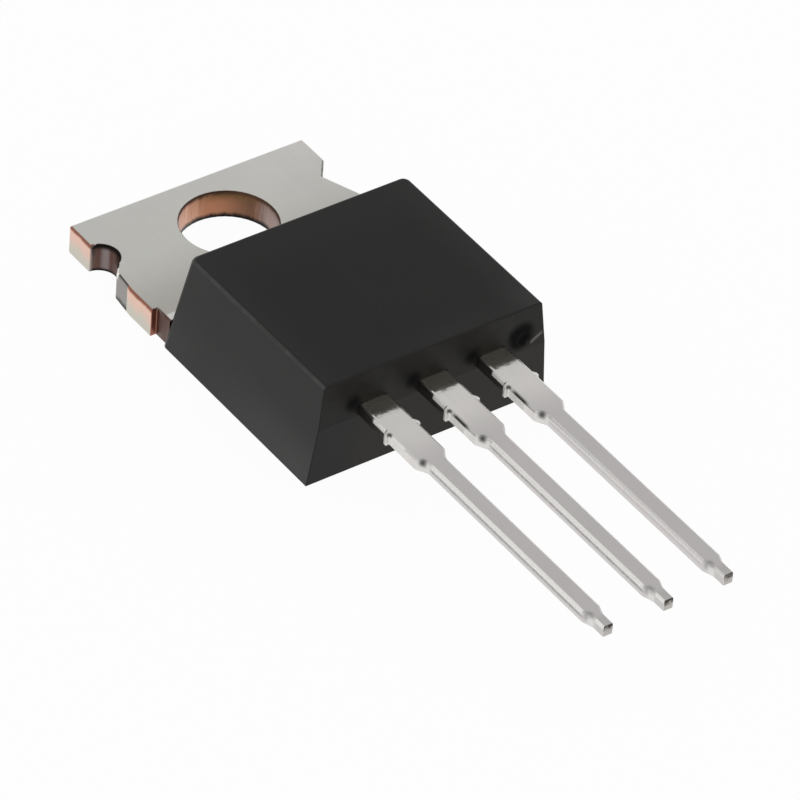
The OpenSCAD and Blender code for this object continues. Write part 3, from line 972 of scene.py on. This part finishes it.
def pale_floor():
    """White floor just under the part: it keeps a light shadow, and is clear when seen from below."""
    material, tree, output = bare_material("pale_floor")
    seen = add_node(tree, "ShaderNodeLightPath")
    shows = either(tree, seen.outputs["Is Camera Ray"], seen.outputs["Is Glossy Ray"],
                   seen.outputs["Is Transmission Ray"])
    paint = add_node(tree, "ShaderNodeBsdfDiffuse", Color=FLOOR_WHITE)
    glow = add_node(tree, "ShaderNodeEmission", Color=PURE_WHITE, Strength=1.0)
    top = mix_shaders(tree, calc(tree, "MULTIPLY", shows, FLOOR_GLOW), paint, glow)
    clear = add_node(tree, "ShaderNodeBsdfTransparent")
    from_below = add_node(tree, "ShaderNodeNewGeometry").outputs["Backfacing"]
    surface = mix_shaders(tree, from_below, top, clear)
    tree.links.new(surface.outputs[0], output.inputs[0])
    stage_plane("floor", FLOOR_WIDTH, tab_low.z - FLOOR_GAP, material)


def lit_ceiling():
    """Evenly lit ceiling, a little darker than the floor."""
    material, tree, output = bare_material("lit_ceiling")
    glow = add_node(tree, "ShaderNodeEmission", Color=PURE_WHITE, Strength=CEILING_LEVEL)
    tree.links.new(glow.outputs[0], output.inputs[0])
    stage_plane("ceiling", CEILING_WIDTH, CEILING_HEIGHT, material)


def white_surroundings():
    """Plain white all round."""
    world = bpy.data.worlds.new("surroundings")
    bpy.context.scene.world = world
    world.use_nodes = True
    tree = world.node_tree
    tree.nodes.clear()
    white = add_node(tree, "ShaderNodeBackground", Color=PURE_WHITE, Strength=1.0)
    output = add_node(tree, "ShaderNodeOutputWorld")
    tree.links.new(white.outputs[0], output.inputs[0])


def soft_box(name, place, size, watts):
    """Square lamp that faces the part."""
    lamp = bpy.data.lights.new(name, "AREA")
    lamp.size = size
    lamp.energy = watts
    obj = bpy.data.objects.new(name, lamp)
    obj.location = place
    obj.rotation_euler = (LOOK_AT - place).to_track_quat("-Z", "Y").to_euler()
    bpy.context.scene.collection.objects.link(obj)


def photo_camera():
    """The photograph's viewpoint."""
    level = math.cos(CAMERA_ELEVATION)
    forward = Vector((-math.sin(CAMERA_AZIMUTH) * level, math.cos(CAMERA_AZIMUTH) * level,
                      -math.sin(CAMERA_ELEVATION)))
    level_right = forward.cross(Vector((0, 0, 1))).normalized()
    level_up = level_right.cross(forward)
    right = level_right * math.cos(CAMERA_ROLL) + level_up * math.sin(CAMERA_ROLL)
    up = right.cross(forward)
    data = bpy.data.cameras.new("photo_camera")
    data.sensor_width = SENSOR
    data.lens = FOCAL_PIXELS * SENSOR / PHOTO_PIXELS
    data.clip_start = 0.01
    data.clip_end = 10.0
    camera = bpy.data.objects.new("photo_camera", data)
    turn = Matrix((right, up, -forward)).transposed().to_4x4()
    camera.matrix_world = Matrix.Translation(LOOK_AT - forward * CAMERA_DISTANCE) @ turn
    bpy.context.scene.collection.objects.link(camera)
    bpy.context.scene.camera = camera


dress_pieces()
pale_floor()
lit_ceiling()
white_surroundings()
soft_box("left_back_box", LAMP_PLACE, LAMP_SIZE, LAMP_WATTS)
photo_camera()
bpy.context.scene.view_settings.view_transform = "Standard"
